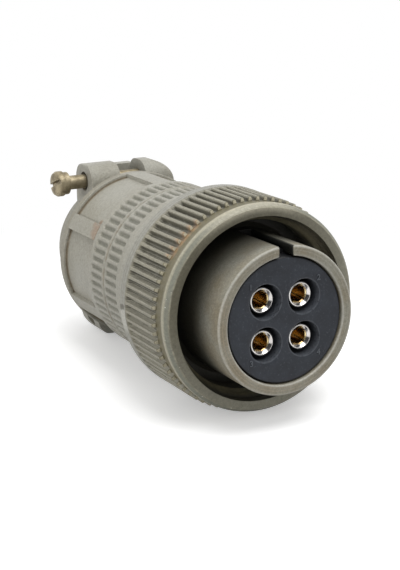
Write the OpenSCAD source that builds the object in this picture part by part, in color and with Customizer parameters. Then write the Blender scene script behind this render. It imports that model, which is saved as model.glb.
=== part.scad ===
// Circular cable connector, four-way socket plug with a straight backshell and a strain-relief clamp.
// The plug's axis runs along Y.  The mating face is at Y = 0 and looks along -Y, the cable leaves at +Y,
// and the keyway is on top (+Z).  Sizes are in millimetres.

/* [Barrel] */
// Outside diameter of the front sleeve
barrel_od = 23.1; // [22.6:0.1:23.6]
// Bore of the sleeve at the mating face
barrel_bore = 19.8; // [19.4:0.1:20.2]
// Width of the keyway slot
keyway_w = 2.3; // [1.6:0.1:3.2]
// Length of the keyway slot from the mating face
keyway_len = 12.5; // [6:0.5:14]
// Diameter of the flange that the coupling nut pulls on
flange_od = 28.4; // [27.6:0.1:28.6]

/* [Coupling nut] */
// Wall of the nut between its flange bore and the floor of the knurl grooves
nut_wall = 1.7; // [1.55:0.05:2.6]
// Major diameter of the coupling thread
nut_thread_d = 28.575; // [28.2:0.025:28.8]
// Pitch of the coupling thread
nut_thread_pitch = 1.411; // [1:0.001:1.6]
// Distance of the nut's front edge behind the mating face, with the nut pushed back
nut_setback = 7.2; // [6:0.1:7.6]
// Number of knurl teeth
knurl_teeth = 77; // [48:1:90]
// Depth of the knurl grooves
knurl_depth = 0.75; // [0.4:0.05:0.8]
// Length of the knurl
knurl_len = 9.8; // [7:0.1:10]
// Share of the knurl pitch that is tooth tip
knurl_tip_share = 0.36; // [0.2:0.02:0.5]
// Axial play of the nut on the barrel
nut_float = 3.0; // [1:0.1:3]
// Thickness of the nut's retaining ring
nut_ring_t = 1.7; // [1.4:0.1:2]
// Opening between the ends of the retaining ring, in degrees
nut_ring_gap = 12; // [6:1:24]

/* [Insert and contacts] */
// Distance of the insert's face behind the mating face
insert_recess = 0.45; // [0.2:0.05:1]
// Length of the front insert
insert_front_len = 12; // [10:0.5:13]
// Length of the rear insert
insert_rear_len = 7.6; // [6:0.2:8]
// Distance between neighbouring contacts
contact_pitch = 6.6; // [6.4:0.05:6.8]
// Diameter of each contact's well in the insert's face
well_d = 5.4; // [5:0.1:5.6]
// Bore of the socket contacts
contact_bore = 2.4; // [2:0.05:2.6]
// Outside diameter of the steel hoods
hood_od = 4.1; // [3.9:0.05:4.3]
// Width of the slots between the contact tines
tine_slot = 0.34; // [0.2:0.02:0.5]
// Length of the solder cups behind the rear insert
cup_len = 6.6; // [4:0.2:8]

/* [Backshell] */
// Diameter over the two bands of pits
shell_od = 29.5; // [28.6:0.1:30.2]
// Distance from the mating face to the backshell's rear shoulder
shell_end = 40.7; // [40:0.1:46]
// Number of pits in each band
pit_count = 66; // [40:1:72]
// Length of each pit
pit_len = 4.4; // [3:0.1:4.6]
// Width of each pit
pit_w = 0.84; // [0.5:0.02:1]
// Depth of each pit
pit_depth = 0.5; // [0.2:0.05:0.6]
// Diameter of the rear thread that carries the clamp
rear_thread_d = 25.4; // [25:0.1:25.8]
// Length of the rear thread
rear_thread_len = 9.5; // [8:0.1:10]
// Diameter of the wire space inside the backshell
wire_bore = 19; // [17:0.2:20]

/* [Cable clamp] */
// Diameter over the clamp's ribs and rear lip
clamp_od = 29.2; // [28.6:0.1:30]
// Depth of the six panels between the ribs
panel_depth = 0.7; // [0.3:0.05:0.8]
// Length of the clamp's ring
clamp_ring_len = 12.9; // [12:0.1:14]
// Width of the ribs
rib_w = 2.9; // [2:0.1:4]
// Width of the top and bottom ribs
ear_rib_w = 3.6; // [3:0.1:6]
// Diameter of the cable opening
cable_bore = 16; // [13:0.1:16]
// Width of the saddles along the cable
saddle_w = 7.4; // [6.4:0.1:8]
// Thickness of the saddle ends along the screws
saddle_end_t = 5.6; // [5:0.1:6]
// Distance from the plug's axis to each clamp screw
screw_offset = 12.85; // [12.6:0.05:13.2]
// Distance from the plug's axis to the outer edge of the saddle ends
saddle_reach = 15.9; // [15.6:0.05:17]
// Half opening between the saddle ends on the left
open_left = 2.0; // [1.8:0.1:2.4]
// Half opening between the saddle ends on the right
open_right = 3.0; // [2.6:0.1:3.4]

/* [Clamp screws] */
// Diameter of the screw thread
screw_d = 2.5; // [2.2:0.1:3]
// Length of the screw under its head
screw_len = 19; // [18:0.1:21]
// Diameter of the screw head
head_d = 4.5; // [4.2:0.1:5.2]
// Height of the screw head
head_h = 1.8; // [1.6:0.1:3]
// Width of the driver slot
slot_w = 0.7; // [0.5:0.05:1]
// Free shank between each washer and its saddle
screw_slack = 3.3; // [1:0.1:3.6]
// Thickness of the lock washers
washer_t = 1.0; // [0.6:0.05:1.1]
// Outside diameter of the lock washers
washer_od = 4.0; // [3.8:0.1:5.4]

/* [Hidden] */

$fn = 96;
e = 0.01;              // overrun of a cutter past the face it opens
seat = 0.05;           // radial clearance of pieces that are screwed or pressed together
run = 0.05;            // radial clearance of pieces that turn or slide on each other
air = 0.3;             // clearance of pieces that only pass each other

// Finishes
olive = [0.42, 0.41, 0.34];
grey_olive = [0.62, 0.62, 0.58];
insulator = [0.13, 0.15, 0.17];
gold = [0.83, 0.68, 0.35];
bright_steel = [0.80, 0.80, 0.80];
zinc_yellow = [0.68, 0.60, 0.42];

// Barrel stations along the axis
bore_step = 3;                               // where the sleeve's bore widens for the insert
insert_clear = 0.18;                         // visible ring gap round the insert's face
insert_r = barrel_bore / 2 + 0.45;           // insert body
insert_split = insert_recess + insert_front_len;
insert_end = insert_split + insert_rear_len;
barrel_neck_r = 12.5;                        // journal that the retaining ring runs over
barrel_thread_r = 12.0;                      // thread that carries the backshell
barrel_thread_len = 7.2;
snap_t = 0.9;                                // insert retaining ring
snap_w = 1.5;
snap_groove = 0.55;

// Nut stations
flange_air = 0.4;                            // gap between the barrel's flange and the nut's bore
relief_r = max(flange_od / 2 + flange_air, nut_thread_d / 2 + air);
nut_root_r = relief_r + nut_wall;
nut_r = nut_root_r + knurl_depth;
tip_drop = 0.03;                             // the tooth tips lie just inside the smooth band behind them
thread_minor_r = nut_thread_d / 2 - 0.5413 * nut_thread_pitch;
knurl_start = nut_setback + 3.6;
knurl_end = knurl_start + knurl_len;
nut_end = knurl_end + 1.9;
ring_seat = nut_end - 1.05;                  // front face of the retaining ring's seat
ring_bead = 0.35;                            // bead that snaps into the nut
ring_outer_r = nut_r - 1.05;
ring_inner_r = barrel_neck_r + air + 0.1;
ring_end = ring_seat + nut_ring_t;
ring_gap_at = 188;                           // direction of the ring's opening, from +X towards +Z

// Flange: the nut's ring meets its rear face after the nut's play
flange_rear = ring_seat - air - nut_float;
flange_front = flange_rear - 2.9;
nut_thread_end = flange_front - air - 0.1;

// Backshell stations
shell_start = ring_end + air;
shell_r = shell_od / 2;
band_gap = 1.3;                              // plain band between the two bands of pits
pit_rear = shell_end - 1.5;
pit_front = pit_rear - 2 * pit_len - band_gap;
rear_thread_r = rear_thread_d / 2;
thread_end = shell_end + rear_thread_len;
barrel_end = shell_start + barrel_thread_len;

// Clamp stations
clamp_start = shell_end + 0.12;
clamp_r = clamp_od / 2;
lip_len = 1.8;                               // rear lip behind the panels
rear_wall = 3.0;                             // wall round the cable opening
clamp_ring_end = clamp_start + clamp_ring_len;
lip_start = clamp_ring_end - lip_len;
saddle_front = clamp_ring_end + air;
saddle_mid = saddle_front + saddle_w / 2;
saddle_rear = saddle_front + saddle_w;
flange_start = saddle_rear + air;            // end flange behind the saddles
end_flange_t = 2.1;
clamp_end = flange_start + end_flange_t;
cable_r = cable_bore / 2;
arm_t = 1.6;
arm_r = cable_r + arm_t;
arm_half_w = 3.5;
arm_relief = 0.2;                            // the arms stand this much clear of the cable opening
end_flange_reach = 14.6;
end_flange_half_w = 5.2;
tab_round = 2.9;                             // rounding of the saddle ends, along the plug
shoulder_clear = 0.4;                        // rounded outer edge of the ends under the screw heads
shoulder_tapped = 4.4;                       // rounded shoulder of the tapped ends
saddle_bar_t = 3.2;
slot_depth = 0.9;                            // driver slot in the screw heads
saddle_foot = arm_r + 0.45;                  // underside of the saddle ends

contact_at = [[-1, 1], [1, 1], [-1, -1], [1, -1]] * (contact_pitch / 2);

// Contact stations
hood_start = insert_recess + 0.7;
hood_end = insert_split - 1.6;
tine_start = hood_start + 0.9;
hood_wall = 0.36;
contact_r = hood_od / 2 - hood_wall - seat;
collar_r = 2.45;
collar_t = 1.6;
collar_start = insert_split - 0.4;
stem_r = 1.95;
pin_stop = insert_split - 2.6;               // inner end of each contact's bore, before its drill point
cup_end = insert_end + cup_len;

// Turns a shape drawn along Z so that it lies along the plug's axis
module along_axis() { rotate([-90, 0, 0]) children(); }

// Revolves an outline of [radius, distance along the axis]
module turned(outline) { along_axis() rotate_extrude() polygon(outline); }

// Puts a copy at an angle round the axis, from +X towards +Z
module around(angle) { rotate([0, -angle, 0]) children(); }

module bore(r, from, to) {
    translate([0, from - e, 0]) along_axis() cylinder(r = r, h = to - from + 2 * e);
}

// ---- barrel -------------------------------------------------------------------------------------

module barrel() {
    r = barrel_od / 2;
    edge = 0.3;
    groove = insert_end + 0.05;
    color(olive) difference() {
        turned([
            [barrel_bore / 2 + edge, 0], [r - edge, 0], [r, edge],
            [r, flange_front - 0.8], [r + 0.8, flange_front],
            [flange_od / 2 - 0.25, flange_front], [flange_od / 2, flange_front + 0.25],
            [flange_od / 2, flange_rear - 0.25], [flange_od / 2 - 0.25, flange_rear],
            [barrel_neck_r, flange_rear], [barrel_neck_r, shell_start],
            [barrel_thread_r, shell_start], [barrel_thread_r, barrel_end - 0.4],
            [barrel_thread_r - 0.4, barrel_end],
            [insert_r + seat, barrel_end],
            [insert_r + seat, groove + snap_t + 0.1],
            [insert_r + seat + snap_groove, groove + snap_t + 0.1],
            [insert_r + seat + snap_groove, groove],
            [insert_r + seat, groove],
            [insert_r + seat, bore_step], [barrel_bore / 2, bore_step],
            [barrel_bore / 2, edge]]);
        translate([-keyway_w / 2, -e, barrel_bore / 2 - 1])
            cube([keyway_w, keyway_len + e, 3]);
    }
}

// ---- coupling nut -------------------------------------------------------------------------------

// Outline of the knurl: flat tips, with grooves that narrow towards their floor
function knurl_point(i) =
    let (pitch = 360 / knurl_teeth,
         tip = pitch * knurl_tip_share,
         floor_w = pitch * (1 - knurl_tip_share) * 0.62,
         slope = (pitch - tip - floor_w) / 2,
         step = i % 4,
         base = floor(i / 4) * pitch,
         angle = base + [0, tip, tip + slope, tip + slope + floor_w][step],
         r = step < 2 ? nut_r - tip_drop : nut_root_r)
    [r * cos(angle), r * sin(angle)];

module knurl() {
    translate([0, knurl_start, 0]) along_axis()
        linear_extrude(height = knurl_len + 0.5) polygon([for (i = [0 : 4 * knurl_teeth - 1]) knurl_point(i)]);
}

module coupling_nut() {
    collar_r = nut_root_r + 0.02;
    mouth_r = nut_thread_d / 2 + 0.26;
    seat_r = ring_outer_r + run;
    runout = 0.7;                            // sloping rear ends of the knurl grooves
    color(olive) difference() {
        union() {
            turned([
                [mouth_r - 2, nut_setback + 0.1], [mouth_r, nut_setback + 0.1],
                [mouth_r + 0.1, nut_setback], [collar_r - 0.4, nut_setback],
                [collar_r + 0.08, nut_setback + 0.55], [collar_r + 0.18, nut_setback + 1.3],
                [collar_r, nut_setback + 2.1],
                [collar_r, knurl_end - runout], [nut_r, knurl_end],
                [nut_r, nut_end - 0.35], [nut_r - 0.35, nut_end],
                [mouth_r - 2, nut_end]]);
            knurl();
        }
        turned([
            [0, nut_setback - e], [mouth_r + e, nut_setback - e], [mouth_r, nut_setback + 0.1],
            [mouth_r, nut_setback + 1.35], [nut_thread_d / 2, nut_setback + 1.5],
            [thread_minor_r, nut_setback + 1.9],
            [thread_minor_r, nut_thread_end - 0.6], [relief_r, nut_thread_end],
            [relief_r, ring_seat - run],
            [seat_r + ring_bead, ring_seat - run],
            [seat_r + ring_bead, ring_seat + 0.5 + run],
            [seat_r, ring_seat + 0.5 + run], [seat_r, nut_end + e], [0, nut_end + e]]);
    }
}

// Sprung ring that turns inside the nut's rear end and bears on the barrel's flange
module nut_retaining_ring() {
    color(grey_olive) difference() {
        turned([
            [ring_inner_r, ring_seat], [ring_outer_r + ring_bead, ring_seat],
            [ring_outer_r + ring_bead, ring_seat + 0.5], [ring_outer_r, ring_seat + 0.5],
            [ring_outer_r, ring_end - 0.2], [ring_outer_r - 0.2, ring_end],
            [ring_inner_r, ring_end]]);
        gap_w = 2 * ring_outer_r * sin(nut_ring_gap / 2);
        around(ring_gap_at) translate([ring_inner_r - 2, ring_seat - 1, -gap_w / 2])
            cube([6, nut_ring_t + 2, gap_w]);
    }
}

// ---- insert and contacts ------------------------------------------------------------------------

module insert_front() {
    color(insulator) difference() {
        turned([
            [0, insert_recess], [barrel_bore / 2 - insert_clear - 0.25, insert_recess],
            [barrel_bore / 2 - insert_clear, insert_recess + 0.25],
            [barrel_bore / 2 - insert_clear, bore_step + seat],
            [insert_r, bore_step + seat], [insert_r, insert_split], [0, insert_split]]);
        for (p = contact_at) translate([p[0], 0, p[1]]) {
            bore(well_d / 2, insert_recess, hood_end);
            bore(stem_r + seat, hood_end, insert_split);
            bore(collar_r + seat, collar_start, insert_split);
        }
    }
}

module insert_rear() {
    color(insulator) difference() {
        turned([[0, insert_split], [insert_r, insert_split], [insert_r, insert_end - 0.3],
                [insert_r - 0.3, insert_end], [0, insert_end]]);
        for (p = contact_at) translate([p[0], 0, p[1]]) {
            bore(collar_r + seat, insert_split, collar_start + collar_t);
            bore(stem_r + seat, insert_split, insert_end);
        }
    }
}

module insert_retaining_ring() {
    outer = insert_r + snap_groove;
    color(bright_steel) difference() {
        translate([0, insert_end + 0.1, 0]) along_axis() difference() {
            cylinder(r = outer, h = snap_t);
            translate([0, 0, -1]) cylinder(r = outer - snap_w, h = snap_t + 2);
        }
        translate([-1.5, insert_end - 1, -outer - 1]) cube([3, snap_t + 2, snap_w + 2]);
    }
}

// Socket contact: four sprung tines in front, a collar between the inserts and a solder cup behind
module contact(i) {
    p = contact_at[i];
    cup_bore = stem_r - 0.5;
    cup_open = cup_end - cup_len * 0.55;
    color(gold) translate([p[0], 0, p[1]]) difference() {
        turned([
            [contact_bore / 2 + 0.15, tine_start], [contact_r - 0.1, tine_start],
            [contact_r, tine_start + 0.1],
            [contact_r, hood_end - 0.02], [stem_r, hood_end - 0.02], [stem_r, collar_start],
            [collar_r, collar_start], [collar_r, collar_start + collar_t],
            [stem_r, collar_start + collar_t], [stem_r, cup_end],
            [cup_bore, cup_end], [cup_bore, insert_end + 1.2], [0, insert_end + 0.4],
            [0, pin_stop + 0.6], [contact_bore / 2, pin_stop],
            [contact_bore / 2, tine_start + 0.15]]);
        for (angle = [45, 135]) around(angle)
            translate([-stem_r - 1, tine_start - 1, -tine_slot / 2])
                cube([2 * stem_r + 2, hood_end - tine_start - 0.6, tine_slot]);
        translate([-stem_r - 1, cup_open, 0.4]) cube([2 * stem_r + 2, cup_len, stem_r + 1]);
    }
}

// Steel hood that backs up the tines, with a rounded mouth
module contact_hood(i) {
    p = contact_at[i];
    outer = hood_od / 2;
    inner = outer - hood_wall;
    lip = hood_wall / 2;
    color(bright_steel) translate([p[0], 0, p[1]]) union() {
        turned([[inner, hood_start + lip], [outer, hood_start + lip],
                [outer, hood_end - 0.02 - seat], [inner, hood_end - 0.02 - seat]]);
        translate([0, hood_start + lip, 0]) along_axis()
            rotate_extrude() translate([outer - lip, 0]) circle(r = lip, $fn = 32);
    }
}

// ---- backshell ----------------------------------------------------------------------------------

// One band of pits sunk into the backshell
module pit_band(from) {
    for (i = [0 : pit_count - 1]) around((i + 0.5) * 360 / pit_count)
        translate([shell_r - pit_depth, from, -pit_w / 2]) cube([2, pit_len, pit_w]);
}

module backshell() {
    collar_r = shell_r + 0.55;
    collar_end = pit_front - 1.4;
    wire_r = wire_bore / 2;
    mid = pit_front + pit_len + band_gap / 2;
    color(grey_olive) difference() {
        turned([
            [barrel_thread_r + seat, shell_start], [collar_r - 0.4, shell_start],
            [collar_r, shell_start + 0.4], [collar_r, collar_end - 0.9],
            [shell_r, collar_end],
            [shell_r, mid - 0.35], [shell_r - 0.3, mid - 0.15],
            [shell_r - 0.3, mid + 0.15], [shell_r, mid + 0.35],
            [shell_r, shell_end - 0.35], [shell_r - 0.35, shell_end],
            [rear_thread_r - 0.6, shell_end], [rear_thread_r - 0.6, shell_end + 1],
            [rear_thread_r, shell_end + 1.6],
            [rear_thread_r, thread_end - 0.6], [rear_thread_r - 0.6, thread_end],
            [wire_r, thread_end], [wire_r, barrel_end + 2.4],
            [insert_r, barrel_end + 0.6],
            [barrel_thread_r + seat, barrel_end + 0.6]]);
        pit_band(pit_front);
        pit_band(pit_front + pit_len + band_gap);
    }
}

// ---- cable clamp --------------------------------------------------------------------------------

// Arm above or below the cable, with the end flange that keeps the saddles from sliding off
module clamp_arm() {
    difference() {
        union() {
            intersection() {
                translate([0, clamp_ring_end - e, 0]) along_axis()
                    cylinder(r = arm_r, h = clamp_end - clamp_ring_end + e);
                translate([-arm_half_w, clamp_ring_end - 1, 0])
                    cube([2 * arm_half_w, clamp_end - clamp_ring_end + 2, arm_r + 1]);
            }
            translate([0, flange_start, 0]) rotate([90, 0, 0]) mirror([0, 0, 1])
                linear_extrude(height = end_flange_t) end_flange_outline();
        }
        bore(cable_r + arm_relief, clamp_ring_end - 1, clamp_end);
    }
}

module end_flange_outline() {
    corner = 1.6;
    translate([-end_flange_half_w, cable_r - 2])
        square([2 * end_flange_half_w, end_flange_reach - corner - cable_r + 2]);
    translate([-end_flange_half_w + corner, cable_r])
        square([2 * (end_flange_half_w - corner), end_flange_reach - cable_r]);
    for (side = [-1, 1])
        translate([side * (end_flange_half_w - corner), end_flange_reach - corner]) circle(r = corner);
}

module clamp_rib(angle, w) {
    around(angle) translate([rear_thread_r + 0.3, clamp_start, -w / 2])
        cube([clamp_r, clamp_ring_len - 0.5, w]);
}

module clamp_body() {
    floor_r = clamp_r - panel_depth;
    color(grey_olive) {
        difference() {
            union() {
                turned([
                    [rear_thread_r - 2, clamp_start], [floor_r - 0.2, clamp_start],
                    [floor_r, clamp_start + 0.2], [floor_r, lip_start],
                    [clamp_r - 0.15, lip_start], [clamp_r, lip_start + 0.15],
                    [clamp_r, clamp_ring_end - 0.5], [clamp_r - 0.5, clamp_ring_end],
                    [cable_r, clamp_ring_end], [cable_r, clamp_ring_end - rear_wall]]);
                intersection() {
                    union() {
                        for (angle = [30, 150, 210, 330]) clamp_rib(angle, rib_w);
                        for (angle = [90, 270]) clamp_rib(angle, ear_rib_w);
                    }
                    turned([[0, clamp_start], [clamp_r - 0.15, clamp_start],
                            [clamp_r, clamp_start + 0.15], [clamp_r, clamp_ring_end - 0.5],
                            [0, clamp_ring_end - 0.5]]);
                }
                clamp_arm();
                mirror([0, 0, 1]) clamp_arm();
            }
            bore(rear_thread_r + seat, clamp_start, thread_end + 0.3);
            bore(cable_r, clamp_start, clamp_end);
        }
    }
}

// Rounded end of a saddle: its outline along the plug meets its outline across the plug, which has
// the shoulder at the outer face
module saddle_end(t, shoulder) {
    intersection() {
        translate([-1, 0, 0]) rotate([90, 0, 90]) linear_extrude(height = t + 1) {
            translate([saddle_front, saddle_foot]) square([saddle_w, saddle_reach - tab_round - saddle_foot]);
            translate([saddle_front + tab_round, saddle_foot])
                square([saddle_w - 2 * tab_round, saddle_reach - saddle_foot]);
            for (y = [saddle_front + tab_round, saddle_rear - tab_round])
                translate([y, saddle_reach - tab_round]) circle(r = tab_round);
        }
        translate([0, saddle_rear + 1, 0]) rotate([90, 0, 0]) linear_extrude(height = saddle_w + 2) {
            translate([0, saddle_foot - 1]) square([t + 1, saddle_reach - shoulder - saddle_foot + 1]);
            translate([shoulder, saddle_foot - 1])
                square([t + 1 - shoulder, saddle_reach - saddle_foot + 1]);
            translate([shoulder, saddle_reach - shoulder]) circle(r = shoulder);
        }
    }
}

// Left-hand saddle.  Its upper end has a clearance hole, its lower end is tapped.
module saddle(gap) {
    outer_face = -gap - saddle_end_t;
    bar_inner = -outer_face + 0.7;
    bar_outer = bar_inner + saddle_bar_t;
    inner_limit = gap + 3.6;
    difference() {
        union() {
            intersection() {
                translate([0, saddle_front, 0]) along_axis() difference() {
                    cylinder(r = bar_outer, h = saddle_w);
                    translate([0, 0, -1]) cylinder(r = bar_inner, h = saddle_w + 2);
                }
                translate([-bar_outer - 1, saddle_front - 1, -saddle_foot])
                    cube([bar_outer + 1 - inner_limit, saddle_w + 2, 2 * saddle_foot]);
            }
            for (side = [0, 1]) mirror([0, 0, side]) {
                translate([outer_face, 0, 0])
                    saddle_end(saddle_end_t, side == 0 ? shoulder_clear : shoulder_tapped);
                translate([outer_face, saddle_front, saddle_foot - 2.4])
                    cube([-outer_face - inner_limit, saddle_w, 2.4 + 0.5]);
            }
        }
        translate([outer_face - 1, saddle_mid, screw_offset]) rotate([0, 90, 0])
            cylinder(r = screw_d / 2 + 0.45, h = saddle_end_t + 2);
        translate([outer_face - 1, saddle_mid, -screw_offset]) rotate([0, 90, 0])
            cylinder(r = screw_d / 2 + run, h = saddle_end_t + 2);
    }
}

module saddle_left() { color(grey_olive) saddle(open_left); }

module saddle_right() { color(grey_olive) rotate([0, 180, 0]) saddle(open_right); }

// ---- clamp screws -------------------------------------------------------------------------------

// Places a screw or washer on the top screw's axis, with the head towards -X
module on_screw(gap) {
    translate([-gap - saddle_end_t - screw_slack - washer_t, saddle_mid, screw_offset])
        rotate([0, 90, 0]) children();
}

// Slotted fillister-head screw: Z = 0 is the underside of the head
module clamp_screw() {
    dome = 0.6;
    rotate_extrude() polygon([
        [0, -head_h], [head_d / 2 - 1.1, -head_h + 0.08], [head_d / 2 - 0.35, -head_h + dome * 0.55],
        [head_d / 2, -head_h + dome + 0.25], [head_d / 2, 0], [screw_d / 2, 0],
        [screw_d / 2, screw_len - 0.4], [screw_d / 2 - 0.4, screw_len], [0, screw_len]]);
}

module slotted_screw(slot_angle) {
    color(zinc_yellow) difference() {
        clamp_screw();
        rotate([0, 0, slot_angle]) translate([-head_d, -slot_w / 2, -head_h - 1])
            cube([2 * head_d, slot_w, 1 + slot_depth]);
    }
}

// Split ring washer
module lock_washer() {
    color(zinc_yellow) difference() {
        cylinder(r = washer_od / 2, h = washer_t);
        translate([0, 0, -1]) cylinder(r = screw_d / 2 + run, h = washer_t + 2);
        translate([0, -0.2, -1]) rotate([0, 0, 15]) cube([washer_od, 0.4, washer_t + 2]);
    }
}

module clamp_screw_top() { on_screw(open_left) slotted_screw(70); }

module clamp_screw_bottom() { rotate([0, 180, 0]) on_screw(open_right) slotted_screw(20); }

module lock_washer_top() { on_screw(open_left) lock_washer(); }

module lock_washer_bottom() { rotate([0, 180, 0]) on_screw(open_right) lock_washer(); }

barrel();
coupling_nut();
nut_retaining_ring();
insert_front();
insert_rear();
insert_retaining_ring();
contact(0);  // contact_1
contact(1);  // contact_2
contact(2);  // contact_3
contact(3);  // contact_4
contact_hood(0);  // contact_hood_1
contact_hood(1);  // contact_hood_2
contact_hood(2);  // contact_hood_3
contact_hood(3);  // contact_hood_4
backshell();
clamp_body();
saddle_left();
saddle_right();
clamp_screw_top();
clamp_screw_bottom();
lock_washer_top();
lock_washer_bottom();
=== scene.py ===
import math

import bmesh
import bpy
import numpy as np
from mathutils import Matrix, Vector


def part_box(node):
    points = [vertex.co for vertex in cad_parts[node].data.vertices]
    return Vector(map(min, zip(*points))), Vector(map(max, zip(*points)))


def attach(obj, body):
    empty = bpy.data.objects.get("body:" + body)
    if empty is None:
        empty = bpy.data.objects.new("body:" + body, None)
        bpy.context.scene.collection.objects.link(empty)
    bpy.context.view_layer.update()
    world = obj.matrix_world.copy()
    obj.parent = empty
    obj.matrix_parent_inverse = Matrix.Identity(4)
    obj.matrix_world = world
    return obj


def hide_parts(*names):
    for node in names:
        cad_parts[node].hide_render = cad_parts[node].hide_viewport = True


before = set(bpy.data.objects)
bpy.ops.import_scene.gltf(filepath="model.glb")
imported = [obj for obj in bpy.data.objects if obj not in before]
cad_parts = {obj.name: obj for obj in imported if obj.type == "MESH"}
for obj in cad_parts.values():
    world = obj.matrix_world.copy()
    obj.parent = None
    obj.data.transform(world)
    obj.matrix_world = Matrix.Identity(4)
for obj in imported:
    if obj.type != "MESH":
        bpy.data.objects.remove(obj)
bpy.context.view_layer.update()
MM = 0.001  # one millimetre in the frame's metres


# ---- Table, light and camera --------------------------------------------------------------------
# The plug lies on a pale table.  It rests on the rear edge of its coupling nut and on the lower
# ends of the two cable saddles, so the table slopes by about a degree against the plug's axis.

def shaped(name, points, faces, material=None, sharp_degrees=35, outward=True):
    """A mesh object from points (n, 3) in metres and faces given as rows of point numbers.

    Doubled points are merged, and where outward is set the faces are turned to point outwards.
    Edges that fold by more than sharp_degrees stay sharp, the others are shaded smooth.
    """
    mesh = bpy.data.meshes.new(name)
    rows = [f for group in faces for f in np.asarray(group).tolist()]
    mesh.from_pydata(np.asarray(points, float).reshape(-1, 3).tolist(), [], rows)
    work = bmesh.new()
    work.from_mesh(mesh)
    bmesh.ops.remove_doubles(work, verts=work.verts, dist=1e-7)
    bmesh.ops.dissolve_degenerate(work, edges=work.edges, dist=1e-8)
    if outward:
        bmesh.ops.recalc_face_normals(work, faces=work.faces)
    work.to_mesh(mesh)
    work.free()
    mesh.shade_smooth()
    mesh.set_sharp_from_angle(angle=math.radians(sharp_degrees))
    made = bpy.data.objects.new(name, mesh)
    bpy.context.scene.collection.objects.link(made)
    if material:
        mesh.materials.append(material)
    return made


class Wire:
    """A socket in a material's or the world's node tree.  Arithmetic on it adds Math nodes."""

    def __init__(self, tree, socket=None):
        self.tree, self.socket = tree, socket

    def node(self, kind, inputs=None, output=0, **settings):
        """Adds a node: its settings are set first, then each input's value or link."""
        made = self.tree.nodes.new(kind)
        for key, value in settings.items():
            setattr(made, key, value)
        for key, value in (inputs or {}).items():
            if isinstance(value, Wire):
                self.tree.links.new(value.socket, made.inputs[key])
            else:
                made.inputs[key].default_value = value
        return Wire(self.tree, made.outputs[output] if made.outputs else None)

    def math(self, operation, *values):
        """A Math node on the values in order."""
        return self.node("ShaderNodeMath", dict(enumerate(values)), operation=operation)

    def __add__(self, other): return self.math("ADD", self, other)
    def __radd__(self, other): return self.math("ADD", other, self)
    def __sub__(self, other): return self.math("SUBTRACT", self, other)
    def __rsub__(self, other): return self.math("SUBTRACT", other, self)
    def __mul__(self, other): return self.math("MULTIPLY", self, other)
    def __rmul__(self, other): return self.math("MULTIPLY", other, self)
    def __truediv__(self, other): return self.math("DIVIDE", self, other)
    def __rtruediv__(self, other): return self.math("DIVIDE", other, self)
    def __pow__(self, other): return self.math("POWER", self, other)

    def step(self, start, end):
        """0 before start, 1 after end and smooth between; start may be the larger."""
        return self.node("ShaderNodeMapRange", {"Value": self, "From Min": start, "From Max": end},
                         interpolation_type="SMOOTHSTEP")

    def mix(self, a, b):
        """Colour a where this is 0, and colour b where it is 1."""
        return self.node("ShaderNodeMix", {0: self, 6: a, 7: b}, output=2, data_type="RGBA")


def srgb(red, green, blue):
    """A display colour from 0 to 255, as the linear colour that a shader socket takes."""
    share = np.array([red, green, blue]) / 255
    linear = np.where(share < 0.04045, share / 12.92, ((share + 0.055) / 1.055) ** 2.4)
    return (*linear.tolist(), 1.0)


nut_low, nut_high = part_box("coupling_nut")
saddle_low, saddle_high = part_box("saddle_left")
nut_rest_y = nut_high.y - 0.35 * MM
saddle_rest_y = (saddle_low.y + saddle_high.y) / 2 + 1.1 * MM
table_slope = (saddle_low.z - nut_low.z) / (saddle_rest_y - nut_rest_y)
table_reach = 3.0
table_middle = (nut_rest_y + saddle_rest_y) / 2


def table_height(y):
    return nut_low.z + table_slope * (y - nut_rest_y) - 0.02 * MM


near, away = table_middle - table_reach, table_middle + table_reach
table_corners = [(x, y, table_height(y)) for x, y in [
    (-table_reach, near), (table_reach, near), (table_reach, away), (-table_reach, away)]]
table_finish = bpy.data.materials.new("white_table")
table_finish.use_nodes = True
tree = table_finish.node_tree
tree.nodes.clear()
start = Wire(tree)
place = start.node("ShaderNodeTexCoord", output="Object")
from_plug = start.node("ShaderNodeVectorMath", {0: place, 1: (0.0, table_middle, 0.0)},
                       operation="DISTANCE", output="Value")
far = from_plug.step(0.035, 0.10)
seen = start.node("ShaderNodeLightPath", output="Is Camera Ray")
seen = seen.math("MAXIMUM", seen, 0.7 * start.node("ShaderNodeLightPath", output="Is Glossy Ray"))
white, black = (1.0, 1.0, 1.0, 1.0), (0.0, 0.0, 0.0, 1.0)
dim = srgb(178, 177, 175)                     # what the plug's underside sees of the table
paper = start.node("ShaderNodeBsdfDiffuse", {"Color": seen.mix(dim, srgb(252, 252, 252))})
glow = (0.34, 0.34, 0.34, 1.0)                # keeps the shadow's edge pale where it is seen
lift = start.node("ShaderNodeEmission", {"Color": seen.mix(black, glow), "Strength": 1.0})
paper = start.node("ShaderNodeAddShader", {0: paper, 1: lift})
bright = start.node("ShaderNodeEmission", {"Color": white, "Strength": 1.0})
sheet = start.node("ShaderNodeMixShader", {0: far * seen, 1: paper, 2: bright})
start.node("ShaderNodeOutputMaterial", {"Surface": sheet})
table = shaped("table", table_corners, [[(0, 1, 2, 3)]], table_finish, outward=False)

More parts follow.
